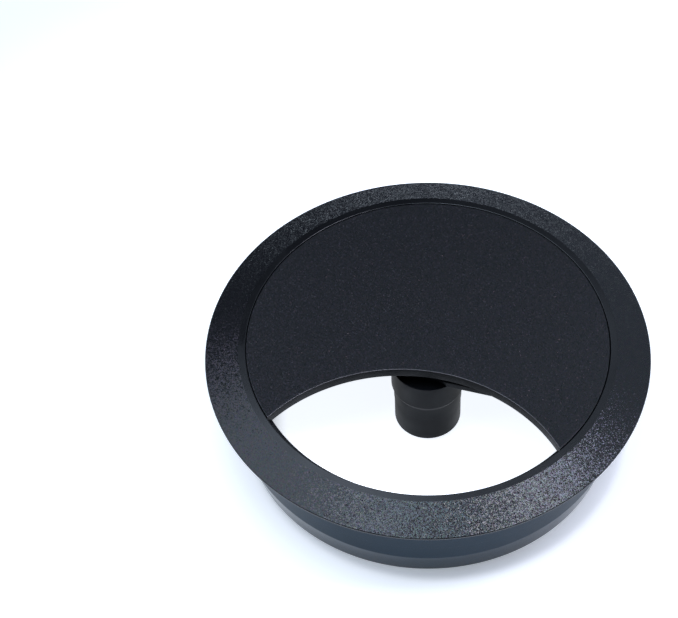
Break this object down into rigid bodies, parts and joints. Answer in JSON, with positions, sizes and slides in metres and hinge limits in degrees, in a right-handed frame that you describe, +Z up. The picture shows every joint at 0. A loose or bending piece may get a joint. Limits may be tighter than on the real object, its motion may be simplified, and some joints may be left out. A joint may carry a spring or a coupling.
{
  "type": "desk grommet",
  "caption": "Round desk cable grommet: a flanged ring with a flat cover, a curved cable opening and a sprung shutter that presses down and turns to close it.",
  "frame": {"origin": "on the ring's axis, in the plane of the desk top, which is the underside of the flange", "axes": "+Z up along the ring's axis, out of the desk; the cable opening faces -Y; +X to the right of a person facing the opening"},
  "size_m": [0.091, 0.091, 0.0251],
  "materials": {
    "ring_plastic": "black moulded plastic, coarse spark grain on the slope, smooth band and sleeve",
    "cover_plastic": "black moulded plastic, fine spark grain on top",
    "shutter_plastic": "black moulded plastic, fine grain on the pad, smooth hub",
    "washer_nylon": "natural nylon",
    "spring_steel": "drawn spring wire",
    "plated_steel": "zinc plated steel"
  },
  "bodies": {
    "ring": {"ring": "ring_plastic"},
    "spring": {"spring": "spring_steel"},
    "cover": {"cover": "cover_plastic", "spring_retainer": "plated_steel", "retaining_screw": "plated_steel"},
    "thrust_washer": {"thrust_washer": "washer_nylon"},
    "shutter": {"shutter": "shutter_plastic"}
  },
  "joints": [
    {"name": "cover_lift", "type": "slide", "parent": "ring", "child": "spring", "axis": [0, 0, 1], "range_m": [0, 0.03]},
    {"name": "cover_turn", "type": "hinge", "parent": "spring", "child": "cover", "pos_m": [0, 0, 0], "axis": [0, 0, 1], "continuous": true},
    {"name": "shutter_press", "type": "slide", "parent": "cover", "child": "thrust_washer", "axis": [0, 0, 1], "range_m": [-0.0015, 0], "stiffness_N_per_m": 600, "springref_m": 0.004, "deforming": ["spring"]},
    {"name": "shutter_turn", "type": "hinge", "parent": "thrust_washer", "child": "shutter", "pos_m": [0, 0, 0], "axis": [0, 0, 1], "range_deg": [-172.5, 187.5]}
  ]
}
